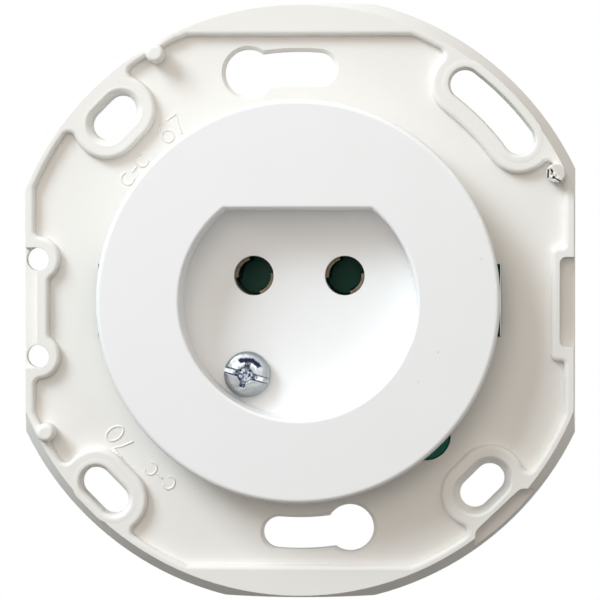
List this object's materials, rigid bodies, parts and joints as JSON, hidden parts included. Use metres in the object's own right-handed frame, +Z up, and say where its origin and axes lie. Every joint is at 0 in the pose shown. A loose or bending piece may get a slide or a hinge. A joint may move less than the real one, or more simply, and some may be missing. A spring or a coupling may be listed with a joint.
{
  "type": "ungrounded lamp outlet",
  "caption": "Flush wall outlet for a lamp plug: round slotted mounting plate, white disc with a D-shaped socket recess, pin holes, cover screw and a contact housing behind.",
  "frame": {"origin": "centre of the mounting plate's back, on the wall surface", "axes": "front looks along -Y, +Z is up, +X is to the right seen from the front"},
  "size_m": [0.071, 0.0264, 0.0764],
  "materials": {
    "plate_plastic": "satin moulded",
    "disc_plastic": "fine satin",
    "housing_plastic": "satin thermoset",
    "zinc_screw": "bright zinc",
    "spring_steel": "plain",
    "clamp_steel": "zinc",
    "contact_bronze": "plain bronze"
  },
  "bodies": {
    "root": {"mounting_plate": "plate_plastic", "cover_disc": "disc_plastic", "cover_screw": "zinc_screw", "cover_nut": "zinc_screw", "contact_housing": "housing_plastic", "rear_cover": "housing_plastic", "upper_rear_screw": "zinc_screw", "lower_rear_screw": "zinc_screw", "left_contact": "contact_bronze", "left_contact_ring": "spring_steel", "left_upper_clamp": "clamp_steel", "left_upper_terminal_screw": "zinc_screw", "left_lower_clamp": "clamp_steel", "left_lower_terminal_screw": "zinc_screw", "right_contact": "contact_bronze", "right_contact_ring": "spring_steel", "right_upper_clamp": "clamp_steel", "right_upper_terminal_screw": "zinc_screw", "right_lower_clamp": "clamp_steel", "right_lower_terminal_screw": "zinc_screw"}
  },
  "joints": []
}
